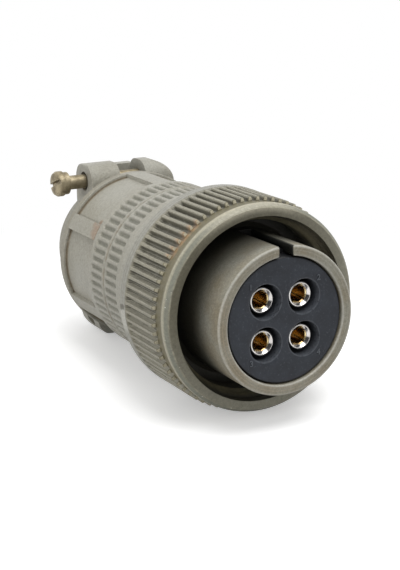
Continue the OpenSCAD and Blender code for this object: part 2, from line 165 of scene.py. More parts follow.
# A white studio: it shows as white behind the plug, and it lights the plug softly from above and
# from the right.  The side towards the lower left is dim, also in the plug's metal.
studio_dim, studio_bright = 0.16, 0.62
world = bpy.data.worlds.new("studio")
bpy.context.scene.world = world
world.use_nodes = True
tree = world.node_tree
tree.nodes.clear()
start = Wire(tree)
camera_ray, glossy_ray, transmission_ray = [
    start.node("ShaderNodeLightPath", output=kind)
    for kind in ("Is Camera Ray", "Is Glossy Ray", "Is Transmission Ray")]
towards = start.node("ShaderNodeTexCoord", output="Generated")
side = start.node("ShaderNodeVectorMath", {0: towards, 1: (0.42, -0.10, 0.90)},
                  operation="DOT_PRODUCT", output="Value").step(-0.75, 0.75)
ambient = studio_dim + (studio_bright - studio_dim) * side
beyond = start.node("ShaderNodeVectorMath", {0: towards, 1: (0.75, 0.45, 0.50)},
                    operation="DOT_PRODUCT", output="Value").step(-0.35, 0.55)
mirrored = 0.05 + 1.1 * beyond
level = ambient + (mirrored - ambient) * glossy_ray
level = level + (1 - level) * camera_ray.math("MAXIMUM", camera_ray, transmission_ray)
back = start.node("ShaderNodeBackground", {"Color": white, "Strength": level})
start.node("ShaderNodeOutputWorld", {"Surface": back})


def direction(azimuth, elevation):
    """Unit vector from the plug towards a place round it: azimuth 0 is in front, 90 on its right."""
    a, e = math.radians(azimuth), math.radians(elevation)
    return Vector((math.sin(a) * math.cos(e), -math.cos(a) * math.cos(e), math.sin(e)))


def softbox(name, azimuth, elevation, distance, size, level):
    """A square lamp aimed at the plug.  At level 1 it lights a white face turned to it to white."""
    lamp = bpy.data.lights.new(name, "AREA")
    lamp.shape, lamp.size = "SQUARE", size
    lamp.energy = level * (math.pi * distance) ** 2
    made = bpy.data.objects.new(name, lamp)
    bpy.context.scene.collection.objects.link(made)
    aim = direction(azimuth, elevation)
    made.location = Vector((0, table_middle, 0)) + aim * distance
    made.rotation_euler = aim.to_track_quat("Z", "Y").to_euler()
    return made


softbox("lamp_above", 8, 68, 0.6, 0.40, 0.62)
softbox("lamp_left", -88, 3, 0.8, 0.50, 0.56)
softbox("lamp_front", -20, 14, 0.8, 0.50, 0.10)

# The camera looks down on the plug's face from the front left, from about a hand's length away.
camera_azimuth, camera_elevation, camera_roll = -27.29, 14.86, -1.08
camera_distance = 218.8 * MM
camera_aim = Vector((-4.04, 20.0, 1.60)) * MM
camera = bpy.data.objects.new("camera", bpy.data.cameras.new("camera"))
bpy.context.scene.collection.objects.link(camera)
camera.data.sensor_width = 36.0
camera.data.lens = 86.73
camera.data.clip_start = 0.005
backwards = direction(camera_azimuth, camera_elevation)
turn = backwards.to_track_quat("Z", "Y").to_matrix() @ Matrix.Rotation(math.radians(camera_roll), 3, "Z")
camera.matrix_world = Matrix.Translation(camera_aim + backwards * camera_distance) @ turn.to_4x4()
bpy.context.scene.camera = camera
bpy.context.scene.view_settings.view_transform = "Standard"


# ---- Barrel -------------------------------------------------------------------------------------
# The plug's front sleeve, turned from aluminium and dipped in an olive conversion coat.  A keyway is
# milled through the top of its wall, and its flange and rear thread are covered by nut and backshell.

def rounded(corners, steps=4):
    """An outline through corners (along, radius, rounding): an arc replaces each rounded corner.

    The arc touches both sides at rounding / tan(half the corner's angle) from the corner.
    """
    corners = [(np.array(c[:2], float), c[2] if len(c) > 2 else 0.0) for c in corners]
    outline = []
    for i, (corner, radius) in enumerate(corners):
        if radius == 0:
            outline.append(corner)
            continue
        before = corners[i - 1][0] - corner
        after = corners[(i + 1) % len(corners)][0] - corner
        before, after = before / np.linalg.norm(before), after / np.linalg.norm(after)
        half = math.acos(np.clip(before @ after, -1, 1)) / 2
        if math.sin(half) < 1e-6 or math.cos(half) < 1e-3:
            outline.append(corner)
            continue
        middle = (before + after) / np.linalg.norm(before + after)
        centre = corner + middle * radius / math.sin(half)
        first = corner + before * radius / math.tan(half) - centre
        last = corner + after * radius / math.tan(half) - centre
        a0, a1 = math.atan2(first[1], first[0]), math.atan2(last[1], last[0])
        sweep = (a1 - a0 + math.pi) % (2 * math.pi) - math.pi
        for t in np.linspace(a0, a0 + sweep, steps + 1):
            outline.append(centre + radius * np.array([math.cos(t), math.sin(t)]))
    return np.array(outline)


def grid_faces(rows, columns, loop_rows=False, loop_columns=False):
    """The quads of a grid of points numbered row by row, closed round where a loop is asked for."""
    r = np.arange(rows if loop_rows else rows - 1)[:, None]
    c = np.arange(columns if loop_columns else columns - 1)[None, :]
    r2, c2 = (r + 1) % rows, (c + 1) % columns
    quads = [r * columns + c, r * columns + c2, r2 * columns + c2, r2 * columns + c]
    return np.stack(np.broadcast_arrays(*quads), -1).reshape(-1, 4)


def around_axis(along, radius, angle, centre=(0.0, 0.0)):
    """Points at a distance along Y, at a radius and angle from +X towards +Z round a centre line."""
    along, radius, angle = np.broadcast_arrays(along, radius, angle)
    return np.stack([centre[0] + radius * np.cos(angle), along, centre[1] + radius * np.sin(angle)], -1)


def turned(outline, count=160, centre=(0.0, 0.0), gap=None):
    """A closed outline (along, radius) in millimetres revolved about a line along Y.

    Full turns give a closed ring; with a gap (from, to) in degrees the ring stops at both sides of
    it and is capped there.  Returns points in metres and groups of faces.
    """
    outline = np.asarray(outline, float) * MM
    if gap is None:
        angle = np.linspace(0, 2 * math.pi, count, endpoint=False)
        points = around_axis(outline[:, :1], outline[:, 1:], angle[None, :], centre)
        return points.reshape(-1, 3), [grid_faces(len(outline), count, True, True)]
    angle = np.radians(np.linspace(gap[1], gap[0] + 360, count))
    points = around_axis(outline[:, :1], outline[:, 1:], angle[None, :], centre)
    caps = [np.arange(len(outline)) * count, (np.arange(len(outline)) * count + count - 1)[::-1]]
    return points.reshape(-1, 3), [grid_faces(len(outline), count, True), [caps[0]], [caps[1]]]


def joined(*parts):
    """Several (points, faces) put together as one mesh of separate closed shells."""
    points, faces, first = [], [], 0
    for p, groups in parts:
        points.append(np.asarray(p).reshape(-1, 3))
        faces += [[(np.asarray(f) + first).tolist() for f in group] for group in groups]
        first += len(points[-1])
    return np.concatenate(points), faces


def finish_start(name):
    """A new material: its node tree's start, and x, y and z in millimetres in the frame."""
    made = bpy.data.materials.new(name)
    made.use_nodes = True
    made.node_tree.nodes.clear()
    start = Wire(made.node_tree)
    place = start.node("ShaderNodeTexCoord", output="Object")
    place = start.node("ShaderNodeVectorMath", {0: place, 1: (1 / MM,) * 3}, operation="MULTIPLY")
    xyz = [start.node("ShaderNodeSeparateXYZ", {0: place}, output=axis) for axis in "XYZ"]
    return made, start, place, xyz


def noise(place, scale, detail=2.0, roughness=0.5):
    """Noise from 0 to 1 whose grains are about 1 / scale millimetres wide."""
    return place.node("ShaderNodeTexNoise", {"Vector": place, "Scale": scale, "Detail": detail,
                                             "Roughness": roughness})


def spots(place, centres):
    """1 inside spheres (x, y, z, radius) in millimetres with soft, uneven edges, and 0 outside."""
    wobble = noise(place, 1.3, 3.0) - 0.5
    total = None
    for x, y, z, radius in centres:
        away = place.node("ShaderNodeVectorMath", {0: place, 1: (x, y, z)}, operation="DISTANCE",
                          output="Value") / radius
        spot = (away + wobble * 0.9).step(1.0, 0.45)
        total = spot if total is None else total.math("MAXIMUM", total, spot)
    return total


def coat(start, place, colour, roughness, grain, grain_scale):
    """Principled shader of a dull conversion coat: fine crystalline grain in its height and gloss."""
    fine = noise(place, grain_scale, 3.0, 0.6)
    blasted = noise(place, 2.3, 4.0, 0.8)
    height = fine * grain + blasted * 0.06
    colour = start.node("ShaderNodeVectorMath", {0: colour, 3: 0.45 + 1.1 * blasted}, operation="SCALE")
    bump = start.node("ShaderNodeBump", {"Height": height, "Strength": 0.6, "Distance": MM})
    shine = roughness + (fine - 0.5) * 0.16
    shader = start.node("ShaderNodeBsdfPrincipled", {
        "Base Color": colour, "Roughness": shine, "Specular IOR Level": 0.35, "Normal": bump})
    start.node("ShaderNodeOutputMaterial", {"Surface": shader})


olive = srgb(137, 135, 123)
olive_light = srgb(168, 167, 158)
olive_dark = srgb(96, 93, 79)
olive_brown = srgb(126, 118, 99)

barrel_finish, start, place, (x, y, z) = finish_start("olive_coat_barrel")
from_axis = (x * x + z * z) ** 0.5
cloud = noise(place, 0.22, 3.0)
speck = noise(place, 3.4, 4.0, 0.7)
rings = noise(start.node("ShaderNodeCombineXYZ", {0: from_axis * 2.2, 1: y * 0.2}), 2.0, 2.0)
colour = cloud.step(0.3, 0.7).mix(olive, olive_brown)
colour = (speck.step(0.52, 0.75) * 0.5).mix(colour, olive_light)
colour = (speck.step(0.48, 0.3) * 0.45).mix(colour, olive_dark)
rim = y.step(0.42, 0.05) * (1 - from_axis.step(10.0, 10.3) * from_axis.step(11.4, 11.1))
colour = (rim * 0.9).mix(colour, srgb(172, 170, 160))
face = y.step(0.25, 0.02) * from_axis.step(10.0, 10.3) * rings.step(0.35, 0.75)
colour = (face * 0.3).mix(colour, olive_light)
colour = (face * (x * -0.7 - z * 0.7).step(0.0, 9.0) * 0.4).mix(colour, srgb(158, 136, 108))
painted_shade = srgb(38, 37, 31)                     # painted shade deep inside the nut
# Painted shade: the sleeve darkens towards the inside of the nut.
colour = (y.step(0.6, 7.5) * 0.92).mix(colour, painted_shade)
# Painted shadow of the nut across the top of the sleeve.
colour = (z.step(5.0, 11.0) * y.step(0.4, 3.0) * from_axis.step(11.3, 11.5) * 0.4).mix(colour, painted_shade)
# Painted shade on the keyway's walls.
keyway_wall_shade = x.math("ABSOLUTE", x).step(1.55, 1.30) * z.step(9.0, 9.5) * from_axis.step(11.6, 11.45)
colour = (keyway_wall_shade * y.step(0.05, 0.25) * 0.97).mix(colour, srgb(18, 19, 16))
coat(start, place, colour, 0.52, 0.04, 3.6)

barrel_r = 11.55
barrel_bore_r = 9.9
insert_seat_r = 10.4
keyway_half = 1.15
keyway_end = 12.5
flange_front, flange_rear = 15.25, 18.15
barrel_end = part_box("barrel")[1].y / MM


def keyed_sleeve(length):
    """The slotted front of the sleeve: its wall's outline carried round from one keyway side to the other.

    Each point keeps keyway_half plus its corner's rounding from the plane x = 0, so the keyway's
    sides stay parallel; the wall's outline shrinks towards the sides, which rounds their edges.
    """
    outline = rounded([(length, barrel_bore_r + 0.5), (length, barrel_r), (0, barrel_r, 0.32),
                       (0, barrel_bore_r, 0.30), (3, barrel_bore_r, 0.1), (3, insert_seat_r),
                       (length, insert_seat_r)], 5)
    count = 190
    side = np.concatenate([[0, 0.03, 0.10, 0.22, 0.38], np.linspace(0.6, math.pi * barrel_r, count)])
    sweep = np.concatenate([side, (2 * math.pi * barrel_r - side[::-1])[1:]])
    along, radius = outline[:, :1], outline[:, 1:]
    gap = np.arcsin(keyway_half / radius)
    share = sweep[None, :] / sweep[-1]
    angle = math.pi / 2 + gap + share * (2 * math.pi - 2 * gap)
    inset = np.zeros(len(sweep))
    inset[:5] = [0.12, 0.075, 0.03, 0.008, 0.0]      # edge left of the keyway, nearly square
    inset[-5:] = [0.0, 0.06, 0.16, 0.30, 0.45]       # edge right of it, worn round
    middle_r = (barrel_r + insert_seat_r) / 2
    radius = radius + (middle_r - radius) * (inset / 1.2)[None, :]
    along = along + inset[None, :] * (along < 0.5)
    points = around_axis(along * MM, radius * MM, angle)
    n, m = len(outline), len(sweep)
    caps = [np.arange(n) * m, (np.arange(n) * m + m - 1)[::-1]]
    return points.reshape(-1, 3), [grid_faces(n, m, True), [caps[0]], [caps[1]]]


rear_outline = rounded([
    (keyway_end, insert_seat_r), (keyway_end, barrel_r), (flange_front - 0.8, barrel_r, 0.4),
    (flange_front, barrel_r + 0.8, 0.2), (flange_front, 14.2, 0.25), (flange_rear, 14.2, 0.25),
    (flange_rear, 12.5), (23.45, 12.5), (23.45, 12.0), (barrel_end - 0.4, 12.0), (barrel_end, 11.6),
    (barrel_end, 10.4)])
barrel = shaped("barrel_sleeve", *joined(keyed_sleeve(keyway_end), turned(rear_outline, 128)),
                barrel_finish)
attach(barrel, "shell")
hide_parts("barrel")


# ---- Coupling nut -------------------------------------------------------------------------------
# A loose olive nut that screws the plug to its receptacle.  It is turned with a rounded lip and an
# internal thread, and its knurl is milled tooth by tooth, so that the grooves run out at the rear.

nut_front = nut_low.y / MM
nut_end = nut_high.y / MM
nut_tip_r = nut_high.z / MM - 0.03
nut_root_r = 16.2
mouth_r, face_edge_r = 14.56, 15.92
lip_r, band_r = 16.32, 17.05                  # behind the lip, and the smooth band at the rear
ring_seat_r, ring_bead_r = 16.1, 16.4         # where the retaining ring sits and snaps in
knurl_start, knurl_end = nut_front + 3.6, nut_end - 1.9
teeth = 77
thread_pitch = 1.411
thread_crest_r, thread_root_r = 13.524, 14.26

# One tooth of the knurl: place within its pitch, and height as a share of the knurl's depth
tooth_at = np.array([0.0, 0.03, 0.09, 0.17, 0.25, 0.305, 0.335, 0.42, 0.50, 0.68, 0.86, 0.925])
tooth_height = np.array([0.86, 0.98, 1.0, 1.0, 1.0, 0.98, 0.86, 0.12, 0.0, 0.04, 0.0, 0.10])


def knurled_nut():
    """The nut's closed outline revolved, with the knurl's height added outside and the thread's inside.

    Outside, a point lies at the larger of the turned radius and the tooth's height at its angle.
    Inside, the thread is a rounded saw-tooth wave of (distance / pitch - angle / full turn).
    """
    outside = rounded([
        (nut_front + 1.9, mouth_r), (nut_front, mouth_r, 0.05), (nut_front, face_edge_r, 0.07),
        (nut_front + 0.60, 16.42, 0.5), (nut_front + 1.35, 16.50, 0.5), (nut_front + 2.1, lip_r, 0.5),
        (knurl_start, lip_r)], 4)[1:-1]
    ends = np.array([-0.001, 0.02, 0.10, 0.22])
    milled = np.concatenate([knurl_start + ends, np.linspace(knurl_start + 1.4, knurl_end - 0.9, 6),
                             knurl_end - np.array([0.70, 0.55, 0.40, 0.25, 0.12, 0.0])])
    floor = np.interp(milled, [knurl_start, knurl_start + 0.3, knurl_end - 0.7, knurl_end],
                      [lip_r, nut_root_r, nut_root_r, band_r])
    milled_on = np.concatenate([[0.0, 0.78, 0.95], np.ones(len(milled) - 3)])
    band = rounded([(knurl_end, band_r), (nut_end, band_r, 0.35), (nut_end, ring_seat_r)], 4)[1:]
    thread_y = np.arange(nut_front + 1.95, 14.3, thread_pitch / 9)[::-1]
    inside = np.array([(nut_end, ring_seat_r), (21.97, ring_seat_r), (21.97, ring_bead_r),
                       (21.42, ring_bead_r), (21.42, 14.6), (14.9, 14.6), (14.45, 14.45)])
    mouth = np.array([(nut_front + 1.85, 14.3), (nut_front + 1.6, 14.5), (nut_front + 1.4, mouth_r)])
    along = np.concatenate([outside[:, 0], milled, band[:, 0], inside[:, 0], thread_y, mouth[:, 0]])
    radius = np.concatenate([outside[:, 1], floor, band[:, 1], inside[:, 1],
                             np.full(len(thread_y), thread_crest_r), mouth[:, 1]])
    knurled = np.zeros(len(along))
    knurled[len(outside):len(outside) + len(milled)] = milled_on
    threaded = np.zeros(len(along))
    first = len(outside) + len(milled) + len(band) + len(inside)
    threaded[first:first + len(thread_y)] = 1
    turns = ((np.arange(teeth)[:, None] + tooth_at[None, :]) / teeth).ravel()
    height = np.tile(tooth_height, teeth)
    tooth_r = nut_root_r + (nut_tip_r - nut_root_r) * height[None, :]
    r = np.where(knurled[:, None] > 0,
                 np.maximum(radius[:, None], radius[:, None] + (tooth_r - radius[:, None]) * knurled[:, None]),
                 radius[:, None])
    phase = (along[:, None] / thread_pitch - turns[None, :]) % 1.0
    groove = np.clip(1.35 - 2.7 * np.abs(phase - 0.5) - 0.1, 0, 1)
    fade = np.interp(along, [nut_front + 1.95, nut_front + 2.8], [0.9, 0])
    depth = (thread_root_r - thread_crest_r) * np.maximum(groove, fade[:, None])
    r = r + threaded[:, None] * depth
    points = around_axis(along[:, None] * MM, r * MM, 2 * math.pi * turns[None, :])
    return points.reshape(-1, 3), [grid_faces(len(along), len(turns), True, True)]


nut_finish, start, place, (x, y, z) = finish_start("olive_coat_nut")
from_axis = (x * x + z * z) ** 0.5
turned_by = z.math("ARCTAN2", z, x) / (2 * math.pi) * teeth
tooth = turned_by.math("FRACT", turned_by)
cloud = noise(place, 0.16, 3.0)
speck = noise(place, 3.2, 4.0, 0.7)
along_tooth = start.node("ShaderNodeCombineXYZ", {0: turned_by * 5.0, 1: y * 0.35})
streak = noise(along_tooth, 1.0, 3.0, 0.65)
nut_light = srgb(122, 123, 111)
nut_tip = srgb(150, 147, 132)
nut_groove = srgb(132, 130, 117)
nut_face_shaded = srgb(92, 89, 75)
rust = srgb(204, 160, 120)
colour = cloud.step(0.35, 0.65).mix(srgb(128, 122, 102), srgb(124, 120, 105))
colour = (speck.step(0.5, 0.78) * 0.4).mix(colour, olive_light)
colour = (speck.step(0.48, 0.25) * 0.4).mix(colour, olive_dark)
milled = y.step(knurl_start - 0.05, knurl_start + 0.1) * y.step(knurl_end + 0.2, knurl_end - 0.6)
milled = milled * from_axis.step(15.2, 15.6)
tips = from_axis.step(16.68, 16.92)
edge = tooth.step(0.10, 0.03) + tooth.step(0.24, 0.31) * tooth.step(0.5, 0.4)
root_shade = tooth.step(0.33, 0.38) * tooth.step(0.66, 0.56)
cutter_line = tooth.step(0.69, 0.73) * tooth.step(0.84, 0.79) * streak.step(0.66, 0.5) * 0.8
# Painted light on the rising flank of each groove.
floor_colour = tooth.step(0.82, 0.90).mix(nut_groove, srgb(170, 167, 153))
shade_depth = 0.62 + 0.33 * z.step(11.0, 2.0)
# Painted shade under each tooth's top, deeper lower on the nut, together with a dark cutter line.
floor_colour = ((root_shade + cutter_line) * shade_depth).mix(floor_colour, srgb(46, 44, 34))
colour = (milled * (1 - tips) * 0.9).mix(colour, floor_colour)
colour = (milled * (1 - tips) * streak.step(0.56, 0.68) * 0.25).mix(colour, srgb(170, 169, 158))
colour = (milled * (1 - tips) * streak.step(0.46, 0.34) * 0.4).mix(colour, srgb(80, 77, 65))
colour = (milled * tips * (0.35 + streak * 0.5)).mix(colour, nut_tip)
colour = (milled * tips * edge * 0.6).mix(colour, srgb(172, 169, 155))
behind = y.step(knurl_end - 0.3, knurl_end + 0.1) * from_axis.step(16.7, 16.9)
colour = (behind * 0.85).mix(colour, srgb(154, 153, 145))
front = y.step(nut_front + 0.12, nut_front + 0.02)
# Painted shade on the face: its colour runs from lighter at the lower right to darker at the upper left.
face_shade_upper_left = (z * 0.8 - x * 0.6).step(-15.0, 16.0)
colour = (front * (0.8 + speck * 0.2)).mix(colour, face_shade_upper_left.mix(srgb(142, 140, 126), nut_face_shaded))
# Painted highlight across the top of the nut's face.
crown_highlight = z.step(9.0, 14.5) * x.step(9.0, 3.0) * x.step(-13.0, -5.0)
colour = (crown_highlight * front * from_axis.step(14.9, 15.9) * 0.6).mix(colour, srgb(176, 171, 153))
band = y.step(nut_front + 1.9, nut_front + 1.3) * y.step(nut_front + 0.0, nut_front + 0.25)
band = band * from_axis.step(face_edge_r - 0.1, face_edge_r)
colour = (band * (0.7 + cloud * 0.5)).mix(colour, nut_light)
# Painted highlight on the top of the lip band.
colour = (crown_highlight * band * 0.75).mix(colour, srgb(178, 173, 155))
worn = noise(place, 0.5, 3.0).step(0.42, 0.62)
# A light line along the face's outer edge: worn coat, with a painted highlight added towards the top.
line = y.step(nut_front + 0.16, nut_front + 0.06) * from_axis.step(face_edge_r - 0.14, face_edge_r - 0.05)
colour = (line * (0.05 + 0.3 * worn + 0.2 * z.step(4.0, 12.0))).mix(colour, srgb(176, 172, 152))
# Painted shade in the nut's bore, lighter where the thread at the lower right is lit.
inside = from_axis.step(14.62, 14.54) * y.step(nut_front - 0.1, nut_front + 0.25)
lit_thread = x.step(4.0, 11.0) * z.step(-12.0, -4.0) * y.step(nut_front + 7.0, nut_front + 2.5)
colour = (inside * (0.9 - 0.5 * lit_thread)).mix(colour, painted_shade)
shoulder = y.step(nut_front + 1.7, nut_front + 2.4) * y.step(knurl_start + 0.5, knurl_start + 0.1)
browned = noise(place, 0.4, 3.0).step(0.4, 0.6) * x.step(4.0, -6.0)
colour = (shoulder * (0.5 + 0.35 * browned)).mix(colour, srgb(108, 102, 78))
front_end = y.step(knurl_start + 1.8, knurl_start + 0.1) * y.step(knurl_start - 0.9, knurl_start - 0.3)
stained = spots(place, [(-11.8, 10.9, 12.2, 2.3), (-13.4, 11.0, 10.4, 1.8), (-10.0, 11.0, 13.8, 1.8)])
colour = (stained * front_end * (0.1 + 0.45 * speck)).mix(colour, rust)
ends = y.step(knurl_start + 0.1, knurl_start + 0.02) * from_axis.step(16.4, 16.5)
colour = (ends * 0.75).mix(colour, srgb(186, 180, 158))
bare = y.step(20.55, 20.75) * y.step(22.45, 22.25) * x.step(0.0, -1.0)
bare = bare * z.step(-0.7, -0.95) * z.step(-4.7, -4.0)
edges = y.step(21.05, 21.15) * y.step(21.35, 21.25) + y.step(21.75, 21.85) * y.step(22.05, 21.95)
colour = (edges * (1 - bare) * x.step(2.0, -8.0) * 0.3).mix(colour, srgb(104, 101, 88))
colour = (bare * 0.65).mix(colour, srgb(190, 189, 180))
nick = spots(place, [(-17.0, 22.0, -0.60, 0.7), (-17.0, 21.3, -0.40, 0.6)])
colour = (nick * 0.8).mix(colour, srgb(78, 74, 62))
chips = noise(place, 1.7).step(0.72, 0.76) * y.step(nut_front + 1.6, nut_front + 1.0)
colour = (chips * from_axis.step(15.6, 15.8)).mix(colour, srgb(222, 220, 212))
coat(start, place, colour, 0.50, 0.03, 4.0)

nut = shaped("knurled_nut", *knurled_nut(), nut_finish, sharp_degrees=40)
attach(nut, "coupling_nut")
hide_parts("coupling_nut")


# ---- Retaining ring of the nut ------------------------------------------------------------------
# A sprung steel ring in a grey coat, snapped into the nut's rear end.  It holds the nut on the
# barrel's flange, and its open ends show between nut and backshell.

def grey_coat(name, brown=(), dark=(), extra=None):
    """The grey-olive conversion coat of the rear pieces, with brown stains and dark marks at spots."""
    made, start, place, (x, y, z) = finish_start(name)
    cloud = noise(place, 0.13, 3.0)
    speck = noise(place, 3.0, 4.0, 0.7)
    colour = cloud.step(0.3, 0.7).mix(srgb(161, 159, 149), srgb(153, 150, 138))
    colour = (speck.step(0.52, 0.8) * 0.35).mix(colour, srgb(178, 177, 168))
    colour = (speck.step(0.46, 0.22) * 0.35).mix(colour, srgb(128, 125, 112))
    if extra:
        colour = extra(start, place, (x, y, z), colour)
    if brown:
        colour = (spots(place, brown) * (0.3 + 0.5 * speck)).mix(colour, srgb(148, 118, 94))
    if dark:
        colour = (spots(place, dark) * 0.7).mix(colour, srgb(84, 80, 68))
    coat(start, place, colour, 0.50, 0.028, 3.6)
    return made


ring_low, ring_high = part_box("nut_retaining_ring")
ring_front, ring_end = ring_low.y / MM, ring_high.y / MM
ring_gap_middle, ring_gap_half = 188, 6       # degrees from +X towards +Z
ring_outline = rounded([(ring_front, 12.9, 0.1), (ring_front, 16.35, 0.1), (ring_front + 0.5, 16.35, 0.1),
                        (ring_front + 0.5, 16.0), (ring_end, 16.0, 0.25), (ring_end, 12.9, 0.1)], 3)
ring_gap = (ring_gap_middle - ring_gap_half, ring_gap_middle + ring_gap_half)
ring = shaped("nut_snap_ring", *turned(ring_outline, 240, gap=ring_gap), grey_coat("grey_coat_ring"))
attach(ring, "nut_ring")
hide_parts("nut_retaining_ring")


# ---- Inserts ------------------------------------------------------------------------------------
# Two blue-black moulded discs clamp the contacts by their collars.  The front one has a wide well
# round each contact, and low moulded contact numbers beside the wells.

insert_low, insert_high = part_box("insert_front")
insert_face, insert_back = insert_low.y / MM, insert_high.y / MM
contact_offset = 3.3
well_r = 2.68
stem_hole_r = 2.0
face_r = 9.0                                  # circle on which the wells' patches meet the rim
insert_front_r, insert_body_r = 9.72, 10.35
insert_shoulder = 3.05                        # the body starts here, behind the sleeve's step
well_floor = 10.85


def moulded_insert():
    """Four patches, each from a well outwards to the insert's cross lines and to a circle, and a rim.

    Round each well a ray at every angle runs from the well's edge to the patch's border, the nearest
    of the two cross lines and the circle.  The rim is revolved from the circle to the insert's side.
    """
    p = contact_offset
    on_arc, on_line = 48, 20
    to_x, to_z = math.atan2(-p, face_r - p), math.atan2(face_r - p, -p)
    rays = np.concatenate([np.linspace(to_x, to_z, on_arc, endpoint=False),
                           np.linspace(to_z, 1.25 * math.pi, on_line, endpoint=False),
                           np.linspace(1.25 * math.pi, to_x + 2 * math.pi, on_line, endpoint=False)])
    dx, dz = np.cos(rays), np.sin(rays)
    across = p * (dx + dz)
    border = -across + np.sqrt(across ** 2 - 2 * p * p + face_r * face_r)
    with np.errstate(divide="ignore"):
        border = np.minimum(border, np.where(dx < -1e-9, -p / dx, np.inf))
        border = np.minimum(border, np.where(dz < -1e-9, -p / dz, np.inf))
    hole = [(insert_back, stem_hole_r), (well_floor, stem_hole_r), (well_floor, well_r),
            (insert_face + 0.16, well_r), (insert_face + 0.05, well_r + 0.04),
            (insert_face, well_r + 0.14)]
    rows = [np.stack([p + border * dx, np.full_like(dx, insert_back), p + border * dz], -1)]
    rows += [np.stack([p + r * dx, np.full_like(dx, y), p + r * dz], -1) for y, r in hole]
    for t in (0.25, 0.6, 1.0):
        out = (well_r + 0.14) * (1 - t) + border * t
        rows.append(np.stack([p + out * dx, np.full_like(dx, insert_face), p + out * dz], -1))
    patch = np.array(rows)
    parts = []
    for sx, sz in ((1, 1), (-1, 1), (1, -1), (-1, -1)):
        parts.append((patch * np.array([sx, 1, sz]) * MM,
                      [grid_faces(len(patch), len(rays), False, True)]))
    quarter = np.arctan2(patch[0, :on_arc + 1, 2], patch[0, :on_arc + 1, 0])
    upwards, downwards = quarter[:on_arc], quarter[on_arc:0:-1]
    angles = np.concatenate([upwards, math.pi - downwards, math.pi + upwards, 2 * math.pi - downwards])
    outline = rounded([(insert_face, face_r), (insert_face, insert_front_r, 0.28),
                       (insert_shoulder, insert_front_r), (insert_shoulder, insert_body_r),
                       (insert_back, insert_body_r), (insert_back, face_r)], 4)
    side = around_axis(outline[:, :1] * MM, outline[:, 1:] * MM, angles[None, :])
    parts.append((side, [grid_faces(len(outline), len(angles), False, True)]))
    return joined(*parts)


insert_finish, start, place, (x, y, z) = finish_start("blue_black_moulding")
speck = noise(place, 2.6, 4.0, 0.65)
cloud = noise(place, 0.35, 2.0)
colour = cloud.step(0.3, 0.7).mix(srgb(39, 42, 48), srgb(46, 50, 57))
colour = (speck.step(0.54, 0.75) * 0.5).mix(colour, srgb(84, 90, 98))
colour = (speck.step(0.44, 0.25) * 0.45).mix(colour, srgb(28, 29, 34))
across, up = x.math("ABSOLUTE", x) - contact_offset, z.math("ABSOLUTE", z) - contact_offset
to_well = (across ** 2 + up ** 2) ** 0.5
# Painted highlight on the wells' edges.
well_edge_highlight = to_well.step(well_r - 0.06, well_r + 0.02) * to_well.step(well_r + 0.22, well_r + 0.12)
colour = (well_edge_highlight * speck.step(0.3, 0.5) * 0.45).mix(colour, srgb(96, 100, 106))
# Painted highlight on the fronts of the raised numbers.
raised = y.step(insert_face - 0.01, insert_face - 0.06)
colour = (raised * 0.6).mix(colour, srgb(98, 102, 108))
# Painted shade in the wells, behind the insert's face.
sunk_shade = y.step(insert_face + 0.3, insert_face + 2.5)
colour = (sunk_shade * 0.6).mix(colour, srgb(24, 24, 26))
# Painted shade of the gap round the insert's face.
face_rim_gap_shade = ((x * x + z * z) ** 0.5).step(9.46, 9.62)
colour = (face_rim_gap_shade * 0.85).mix(colour, srgb(15, 15, 16))
fine = noise(place, 5.5, 3.0, 0.6)
bump = start.node("ShaderNodeBump", {"Height": fine * 0.02 + cloud * 0.03, "Strength": 0.6, "Distance": MM})
shader = start.node("ShaderNodeBsdfPrincipled", {
    "Base Color": colour, "Roughness": 0.45 + (speck - 0.5) * 0.2, "Specular IOR Level": 0.3, "Normal": bump})
start.node("ShaderNodeOutputMaterial", {"Surface": shader})

insert = shaped("front_insert", *moulded_insert(), insert_finish, sharp_degrees=30)
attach(insert, "shell")
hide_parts("insert_front")

number_size, number_r = 1.25, 8.25
contact_sides = [(-1, 1), (1, 1), (-1, -1), (1, -1)]
for number, (sx, sz) in enumerate(contact_sides, 1):
    letter = bpy.data.curves.new(f"number_{number}", "FONT")
    letter.body = str(number)
    letter.size = number_size * MM
    letter.extrude = 0.09 * MM
    letter.bevel_depth = 0.02 * MM
    letter.align_x, letter.align_y = "CENTER", "CENTER"
    text = bpy.data.objects.new(f"contact_number_{number}", letter)
    bpy.context.scene.collection.objects.link(text)
    bpy.context.view_layer.update()
    flat = bpy.data.meshes.new_from_object(text)
    bpy.data.objects.remove(text)
    out = number_r / math.sqrt(2) * MM
    flat.transform(Matrix.Translation((sx * out, insert_face * MM, sz * out))
                   @ Matrix.Rotation(math.pi / 2, 4, "X"))
    raised = bpy.data.objects.new(f"contact_number_{number}", flat)
    bpy.context.scene.collection.objects.link(raised)
    flat.materials.append(insert_finish)
    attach(raised, "shell")

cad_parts["insert_rear"].data.materials.clear()
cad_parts["insert_rear"].data.materials.append(insert_finish)


# ---- Contacts and hoods -------------------------------------------------------------------------
# Each contact is turned from gold-plated copper alloy, with four sprung tines in front and a solder
# cup behind.  A bright steel hood with a rolled mouth is pressed over the tines.

def metal(name, colour, dull, roughness, grain, stain=0.25, bore_shade=None):
    """A bare or plated metal with a fine grain, a little duller in cloudy patches."""
    made, start, place, (x, y, z) = finish_start(name)
    cloud = noise(place, 0.9, 3.0)
    fine = noise(place, 7.0, 3.0, 0.6)
    tint = (cloud.step(0.35, 0.8) * stain).mix(colour, dull)
    # Painted shade: the metal turns dark brown where the bore shade mask is high.
    if bore_shade:
        tint = bore_shade(x, z).mix(tint, srgb(176, 124, 70))
    bump = start.node("ShaderNodeBump", {"Height": fine * grain, "Strength": 0.5, "Distance": MM})
    shader = start.node("ShaderNodeBsdfPrincipled", {
        "Base Color": tint, "Metallic": 1.0, "Roughness": roughness + (cloud - 0.5) * 0.12, "Normal": bump})
    start.node("ShaderNodeOutputMaterial", {"Surface": shader})
    return made


